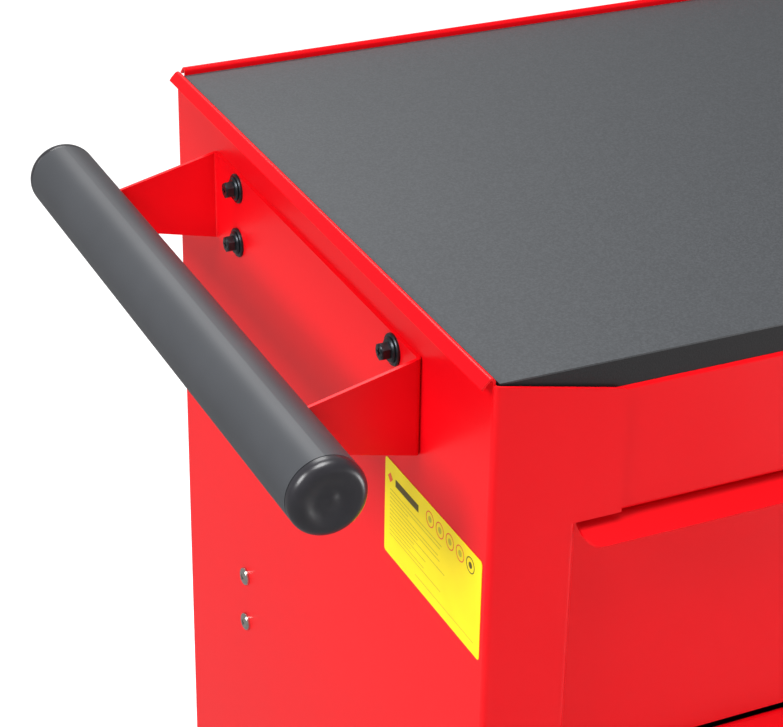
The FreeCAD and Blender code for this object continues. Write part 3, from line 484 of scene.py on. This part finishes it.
black_oxide, tree = new_finish("black_oxide_steel")
place = add(tree, "ShaderNodeTexCoord").outputs["Object"]
oil = add(tree, "ShaderNodeTexNoise", {"Vector": place, "Scale": oil_scale, "Detail": 3.0})
shade = add(tree, "ShaderNodeMix", {0: oil.outputs["Fac"], 6: linear("#23262a"), 7: linear("#3c4045")},
            data_type="RGBA")
oiled = add(tree, "ShaderNodeMapRange", {"Value": oil.outputs["Fac"], "To Min": 0.22, "To Max": 0.42})
turned_marks = add(tree, "ShaderNodeBump", {"Height": oil.outputs["Fac"], "Strength": 0.08,
                                            "Distance": 0.0002})
end_finish(tree, add(tree, "ShaderNodeBsdfPrincipled", {
    "Base Color": shade.outputs[2], "Metallic": 0.75, "Roughness": oiled.outputs["Result"],
    "Normal": turned_marks.outputs["Normal"]}))


def joined(meshes):
    """Several meshes as one."""
    shape = bmesh.new()
    for mesh in meshes:
        shape.from_mesh(mesh)
        bpy.data.meshes.remove(mesh)
    mesh = bpy.data.meshes.new("joined")
    shape.to_mesh(mesh)
    shape.free()
    mesh.set_sharp_from_angle(angle=crease)
    return mesh


def crossed(mesh, face, depth, reach, width):
    """The mesh with a cross recess of tapering arms cut into its end at x = face."""
    shape = bmesh.new()
    for turn in (0, math.pi / 2):
        arm = bmesh.ops.create_cube(shape, size=1.0)["verts"]
        for v in arm:
            taper = 1.0 if v.co.x < 0 else 0.5
            across = Vector((0, v.co.y * width, v.co.z * 2 * reach * taper))
            v.co = Vector((face + v.co.x * 2 * depth, 0, 0)) + Matrix.Rotation(turn, 3, "X") @ across
    cutter_mesh = bpy.data.meshes.new("cutter")
    shape.to_mesh(cutter_mesh)
    shape.free()
    whole, cutter = show("whole", mesh), show("cutter", cutter_mesh)
    cut = whole.modifiers.new("recess", "BOOLEAN")
    cut.operation = "DIFFERENCE"
    cut.solver = "EXACT"
    cut.use_self = True
    cut.object = cutter
    made = bpy.data.meshes.new_from_object(whole.evaluated_get(bpy.context.evaluated_depsgraph_get()))
    bpy.data.objects.remove(whole)
    bpy.data.objects.remove(cutter)
    return made


fixings, given = new_tree("fixings_at_points", [], ["Fixing"])
fixing = add(fixings, "GeometryNodeObjectInfo", {"Object": given.outputs["Fixing"]})
set_out = add(fixings, "GeometryNodeInstanceOnPoints", {"Points": given.outputs["Geometry"],
                                                       "Instance": fixing.outputs["Geometry"],
                                                       "Rotation": given.outputs["Turn"]})
end_tree(fixings, given, set_out.outputs["Instances"])

head_start = -washer_t - flange_t
head_end = head_start - head_h
bolt_head = turned([(head_start, 0.0), (head_start, head_apothem), (head_end + chamfer, head_apothem),
                    (head_end, head_apothem * head_crown), (head_end, 0.0)], hex_steps, flats=(1, 2))
bolt_head = crossed(bolt_head, head_end, *bolt_recess)
flange = turned([(-washer_t, 0.0), (-washer_t, flange_r - chamfer / 2), (-washer_t - chamfer, flange_r),
                 (head_start + chamfer, flange_r - chamfer / 2), (head_start, flange_r * flange_crown),
                 (head_start, 0.0)], disc_steps)
washer = turned([(0.0, 0.0), (0.0, washer_r), (-washer_t + chamfer, washer_r), (-washer_t, washer_r - chamfer),
                 (-washer_t, 0.0)], disc_steps)
nut_start = bolt_end - nut_h - shank_over
nut_end = nut_start + nut_h
nut = turned([(nut_start, 0.0), (nut_start, head_apothem), (nut_end - chamfer, head_apothem),
              (nut_end, head_apothem * nut_crown), (nut_end, shank_r), (bolt_end, shank_r), (bolt_end, 0.0)],
             hex_steps, flats=(1, 2))
bolt_set = show("bolt_set", joined([bolt_head, flange, washer, nut]))
places = [(washer_high.x, y, z) for y in bolt_ys for z in bolt_zs]
bolts = grown("handle_bolt_sets", fixings, points_at(places), fixing=bolt_set, finish=black_oxide)
bpy.data.objects.remove(bolt_set)
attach(bolts, "cabinet")
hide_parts("handle_bolts", "handle_washers")


# The side screws: pan-head M5 screws, two behind each slide, into the rear uprights.
# Steel plated with bright nickel, with a cross recess.
screws_low, screws_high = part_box("side_screws")
skin_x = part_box("handle_bracket")[1].x
screw_r = (screws_high.y - screws_low.y) / 2
screw_y = (screws_high.y + screws_low.y) / 2
screw_pair = 0.032
pan_h = skin_x - screws_low.x
dome_steps = 8
plating_scale = 500.0       # specks of haze in the plating per metre
rim_share = 0.35            # straight edge's share of the head's height
dome_lift = 0.9             # powers that fill out the dome
dome_fill = 0.6
screw_steps = 40
screw_crease = math.radians(40)
screw_recess = (0.0016, 0.0030, 0.0011)     # depth, reach and width of the cross

nickel, tree = new_finish("bright_nickel_plate")
place = add(tree, "ShaderNodeTexCoord").outputs["Object"]
haze = add(tree, "ShaderNodeTexNoise", {"Vector": place, "Scale": plating_scale, "Detail": 2.0})
shine = add(tree, "ShaderNodeMapRange", {"Value": haze.outputs["Fac"], "To Min": 0.12, "To Max": 0.28})
shade = add(tree, "ShaderNodeMix", {0: haze.outputs["Fac"], 6: linear("#b9b4ae"), 7: linear("#dedad4")},
            data_type="RGBA")
end_finish(tree, add(tree, "ShaderNodeBsdfPrincipled", {
    "Base Color": shade.outputs[2], "Metallic": 1.0, "Roughness": shine.outputs["Result"]}))

outline = [(0.0, 0.0), (0.0, screw_r), (-pan_h * rim_share, screw_r)]
for i in range(1, dome_steps + 1):
    angle = math.pi / 2 * i / dome_steps
    height = rim_share + (1 - rim_share) * math.sin(angle) ** dome_lift
    outline.append((-pan_h * height, screw_r * math.cos(angle) ** dome_fill))
outline[-1] = (-pan_h, 0.0)
screw_head = crossed(turned(outline, screw_steps), -pan_h, *screw_recess)
for face in screw_head.polygons:
    face.use_smooth = True
screw_head.set_sharp_from_angle(angle=screw_crease)
pan_screw = show("pan_screw", screw_head)
heights = []
for k in drawer_numbers:
    slide_low, slide_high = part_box(f"slide_inner_{k}")
    middle = (slide_low.z + slide_high.z) / 2
    heights += [middle - screw_pair / 2, middle + screw_pair / 2]
for side, x, turn in (("left", skin_x, 0.0), ("right", screws_high.x - pan_h, math.pi)):
    screws = grown(f"pan_screws_{side}", fixings, points_at([(x, screw_y, z) for z in heights]),
                   fixing=pan_screw, turn=(0.0, 0.0, turn), finish=nickel)
    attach(screws, "cabinet")
    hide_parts("side_screws")
bpy.data.objects.remove(pan_screw)


# The sticker on the left side: yellow vinyl under a clear film, printed with plain marks and no words.
# A bar, a diamond, rows of fine lines of uneven length and a row of five rings, all in thin ink.
ink_t = 0.00005
margin = 0.006
line_pitch = 0.0023
line_t = 0.0005
ring_r = 0.0043
ring_line = 0.0006
ring_count = 5
ring_pitch = 2.5            # in radii of a ring
ring_drop = 0.002
dot_share = 0.4
bar_start = 0.006           # bar's near end from the margin
bar_length = 0.026
bar_rows = (0.0055, 0.0015)
diamond_r = 0.0028
diamond_drop = 0.0035
first_line = 0.0095
foot_line_in = 0.03
ripple_scale = 60.0         # ripples per metre
screen_scale = 1800.0       # dots of ink per metre

vinyl, tree = new_finish("yellow_vinyl_film")
place = add(tree, "ShaderNodeTexCoord").outputs["Object"]
ripple = add(tree, "ShaderNodeTexNoise", {"Vector": place, "Scale": ripple_scale, "Detail": 1.0})
shade = add(tree, "ShaderNodeMix", {0: ripple.outputs["Fac"], 6: linear("#ecd200"), 7: linear("#f6de02")},
            data_type="RGBA")
stuck = add(tree, "ShaderNodeBump", {"Height": ripple.outputs["Fac"], "Strength": 0.06,
                                     "Distance": 0.0004})
end_finish(tree, add(tree, "ShaderNodeBsdfPrincipled", {
    "Base Color": shade.outputs[2], "Roughness": 0.35, "Specular IOR Level": 0.15,
    "Normal": stuck.outputs["Normal"]}))
dress(vinyl, "side_label")

inks = {}
for name, dark, pale in (("brown", "#4a3c0e", "#6a5a16"), ("ochre", "#b7a312", "#cbb818"),
                         ("orange", "#e0481c", "#ee6a24")):
    inks[name], tree = new_finish(f"{name}_printing_ink")
    place = add(tree, "ShaderNodeTexCoord").outputs["Object"]
    screen = add(tree, "ShaderNodeTexNoise", {"Vector": place, "Scale": screen_scale, "Detail": 1.0})
    shade = add(tree, "ShaderNodeMix", {0: screen.outputs["Fac"], 6: linear(dark), 7: linear(pale)},
                data_type="RGBA")
    end_finish(tree, add(tree, "ShaderNodeBsdfPrincipled", {
        "Base Color": shade.outputs[2], "Roughness": 0.4, "Specular IOR Level": 0.3}))

label_low, label_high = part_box("side_label")


def block(x, y, z):
    """A closed block between a low and a high value on each axis."""
    shape = bmesh.new()
    made = bmesh.ops.create_cube(shape, size=1.0)["verts"]
    for v in made:
        v.co = Vector([(a + b) / 2 + share * (b - a) for share, (a, b) in zip(v.co, (x, y, z))])
    mesh = bpy.data.meshes.new("block")
    shape.to_mesh(mesh)
    shape.free()
    return mesh


ink_x = (label_low.x - ink_t, label_low.x)
row_z = label_high.z - margin
bar_end = label_high.y - margin - bar_start
header = (bar_end - bar_length, bar_end)
header_rows = tuple(row_z - row for row in bar_rows)
diamond = turned([(0.0, 0.0), (0.0, diamond_r), (-ink_t, diamond_r), (-ink_t, 0.0)], 4)
marks = {"brown": [block(ink_x, header, header_rows)], "ochre": [], "orange": []}
marks["orange"].append(placed(diamond, (label_low.x, label_high.y - margin, row_z - diamond_drop)))
line_ends = (0.62, 0.60, 0.22, 0.58, 0.60, 0.34, 0.66, 0.30, 0.44, 0.26, 0.42, 0.62)
for i, share in enumerate(line_ends):
    z = row_z - first_line - i * line_pitch
    length = (label_high.y - label_low.y - 2 * margin) * share
    marks["ochre"].append(block(ink_x, (label_high.y - margin - length, label_high.y - margin),
                                (z - line_t, z)))
z = label_low.z + margin
foot_line = (label_low.y + margin, label_high.y - margin - foot_line_in)
marks["ochre"].append(block(ink_x, foot_line, (z, z + line_t)))
for i in range(ring_count):
    ink = "brown" if i == 0 else "orange"
    centre = (label_low.x, label_low.y + margin + (i + 0.5) * ring_pitch * ring_r, row_z - ring_drop)
    ring = turned([(0.0, ring_r), (-ink_t, ring_r), (-ink_t, ring_r - ring_line), (0.0, ring_r - ring_line)],
                  32, closed=True)
    dot = turned([(0.0, 0.0), (0.0, ring_r * dot_share), (-ink_t, ring_r * dot_share), (-ink_t, 0.0)], 24)
    marks[ink].append(placed(ring, centre))
    marks["brown" if i == 0 else "ochre"].append(placed(dot, centre))
for ink, parts in marks.items():
    printed = show(f"sticker_marks_{ink}", joined(parts))
    printed.data.materials.append(inks[ink])
    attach(printed, "cabinet")


# The lock: a die-cast barrel and key plug through the right post, chrome plated.
# The plate is bright, with fine wipe marks.
wipe_scale = 300.0          # wipe marks per metre

chrome, tree = new_finish("chrome_plate")
place = add(tree, "ShaderNodeTexCoord").outputs["Object"]
wipes = add(tree, "ShaderNodeTexNoise", {"Vector": place, "Scale": wipe_scale, "Detail": 3.0})
wiped = add(tree, "ShaderNodeMapRange", {"Value": wipes.outputs["Fac"], "To Min": 0.06, "To Max": 0.2})
shade = add(tree, "ShaderNodeMix", {0: wipes.outputs["Fac"], 6: linear("#c8cace"), 7: linear("#e6e8ea")},
            data_type="RGBA")
rounded = add(tree, "ShaderNodeBevel", {"Radius": 0.0005}, samples=4)
end_finish(tree, add(tree, "ShaderNodeBsdfPrincipled", {
    "Base Color": shade.outputs[2], "Metallic": 1.0, "Roughness": wiped.outputs["Result"],
    "Normal": rounded.outputs["Normal"]}))
dress(chrome, "lock_housing", "lock_cylinder")


# The casters: pressed steel plates, forks and axles, zinc plated, with the fork turning on a ball race.
# The plating is the same as on the slides, and the brake pedals are black plastic.
ends = ("front", "rear")
dress(zinc_plate, "swivel_caster_plates", "fixed_caster_brackets", "fixed_caster_axles", "caster_bolts")
for end in ends:
    dress(zinc_plate, f"swivel_fork_{end}", f"swivel_axle_{end}")
    dress(cap_plastic, f"brake_pedal_{end}")


# The wheels: cores of grey glass-filled nylon, moulded with ribs between hub and rim.
# The tyre is black rubber bonded round the core, with a rounded tread and two fine grooves.
rib_count = 8
rib_t = 0.0030
tread_pits = 0.0014
glass_scale = 700.0         # glints of glass fibre per metre
hub_r = 0.011
rim_wall = 0.005            # core's rim, which the ribs run into
rib_bite = 0.001
rib_w_share = 0.78          # ribs' width over the tyre's
tyre_depth = 0.013
shoulder_r = 0.005
crown_h = 0.001             # tread's crown over its shoulders
shoulder_steps = 6
groove_x = 0.004            # each groove from the tread's middle
groove_half = 0.0009        # half its width at the top, and at its floor
groove_floor_half = 0.0005
groove_edge = 0.0002        # its edges and its floor below the crown
groove_floor = 0.0012

nylon, tree = new_finish("glass_filled_grey_nylon")
place = add(tree, "ShaderNodeTexCoord").outputs["Object"]
glass = add(tree, "ShaderNodeTexNoise", {"Vector": place, "Scale": glass_scale, "Detail": 4.0})
shade = add(tree, "ShaderNodeMix", {0: glass.outputs["Fac"], 6: linear("#55595d"), 7: linear("#74787d")},
            data_type="RGBA")
rounded = add(tree, "ShaderNodeBevel", {"Radius": 0.0006}, samples=4)
matt = add(tree, "ShaderNodeBump", {"Height": glass.outputs["Fac"], "Normal": rounded.outputs["Normal"],
                                    "Strength": 0.1, "Distance": 0.0002})
end_finish(tree, add(tree, "ShaderNodeBsdfPrincipled", {
    "Base Color": shade.outputs[2], "Roughness": 0.5, "Normal": matt.outputs["Normal"]}))

tyre_rubber, tree = new_finish("black_tyre_rubber")
place = add(tree, "ShaderNodeTexCoord").outputs["Object"]
pits = add(tree, "ShaderNodeTexNoise", {"Vector": place, "Scale": 1 / tread_pits, "Detail": 4.0})
shade = add(tree, "ShaderNodeMix", {0: pits.outputs["Fac"], 6: linear("#141517"), 7: linear("#26282b")},
            data_type="RGBA")
worn = add(tree, "ShaderNodeBump", {"Height": pits.outputs["Fac"], "Strength": 0.25, "Distance": 0.0003})
end_finish(tree, add(tree, "ShaderNodeBsdfPrincipled", {
    "Base Color": shade.outputs[2], "Roughness": 0.68, "Specular IOR Level": 0.4,
    "Normal": worn.outputs["Normal"]}))

ribs_tree, given = new_tree("ribs_round_hub", ["Count", "Middle Radius", "Length", "Width", "Thickness"])
circle = add(ribs_tree, "GeometryNodeMeshCircle", {"Vertices": given.outputs["Count"],
                                                  "Radius": given.outputs["Middle Radius"]})
size = add(ribs_tree, "ShaderNodeCombineXYZ", {"X": given.outputs["Length"], "Y": given.outputs["Thickness"],
                                              "Z": given.outputs["Width"]})
rib = add(ribs_tree, "GeometryNodeMeshCube", {"Size": size.outputs["Vector"]})
outward = add(ribs_tree, "FunctionNodeAlignEulerToVector", {
    "Vector": add(ribs_tree, "GeometryNodeInputPosition").outputs["Position"]}, axis="X", pivot_axis="Z")
set_out = add(ribs_tree, "GeometryNodeInstanceOnPoints", {"Points": circle.outputs["Mesh"],
                                                         "Instance": rib.outputs["Mesh"],
                                                         "Rotation": outward.outputs["Rotation"]})
laid = add(ribs_tree, "GeometryNodeTransform", {"Geometry": set_out.outputs["Instances"],
                                               "Rotation": given.outputs["Turn"]})
end_tree(ribs_tree, given, laid.outputs["Geometry"])

for side in ("left", "right"):
    across = "X" if side == "left" else "Y"
    for end in ends:
        core, tyre, body = f"wheel_core_{side}_{end}", f"wheel_tyre_{side}_{end}", f"wheel_{side}_{end}"
        dress(nylon, core)
        low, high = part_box(tyre)
        centre = (low + high) / 2
        tyre_r = (high.z - low.z) / 2
        width = high.x - low.x if side == "left" else high.y - low.y
        rim_r = tyre_r - tyre_depth
        turn = (0.0, math.pi / 2, 0.0) if side == "left" else (math.pi / 2, 0.0, 0.0)
        spokes = grown(f"wheel_ribs_{side}_{end}", ribs_tree, points_at([(0, 0, 0)]), count=rib_count,
                       middle_radius=(rim_r - rim_wall + hub_r) / 2,
                       length=rim_r - rim_wall + rib_bite - hub_r, width=width * rib_w_share,
                       thickness=rib_t, turn=turn, finish=nylon)
        spokes.data.transform(Matrix.Translation(centre))
        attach(spokes, body)
        half = width / 2
        shoulder_z = tyre_r - shoulder_r - crown_h
        outline = [(-half, rim_r), (-half, shoulder_z)]
        for i in range(1, shoulder_steps + 1):
            angle = math.pi / 2 * i / shoulder_steps
            outline.append((shoulder_r - half - shoulder_r * math.cos(angle),
                            shoulder_z + shoulder_r * math.sin(angle)))
        for x in (-groove_x, groove_x):
            outline += [(x - groove_half, tyre_r - groove_edge),
                        (x - groove_floor_half, tyre_r - groove_floor),
                        (x + groove_floor_half, tyre_r - groove_floor),
                        (x + groove_half, tyre_r - groove_edge)]
            if x < 0:
                outline.append((0.0, tyre_r))
        for i in range(shoulder_steps, 0, -1):
            angle = math.pi / 2 * i / shoulder_steps
            outline.append((half - shoulder_r + shoulder_r * math.cos(angle),
                            shoulder_z + shoulder_r * math.sin(angle)))
        outline += [(half, shoulder_z), (half, rim_r)]
        tread = show(f"tyre_{side}_{end}", placed(turned(outline, ring_steps, closed=True), centre, across))
        tread.data.materials.append(tyre_rubber)
        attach(tread, body)
        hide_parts(tyre)


low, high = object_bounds()
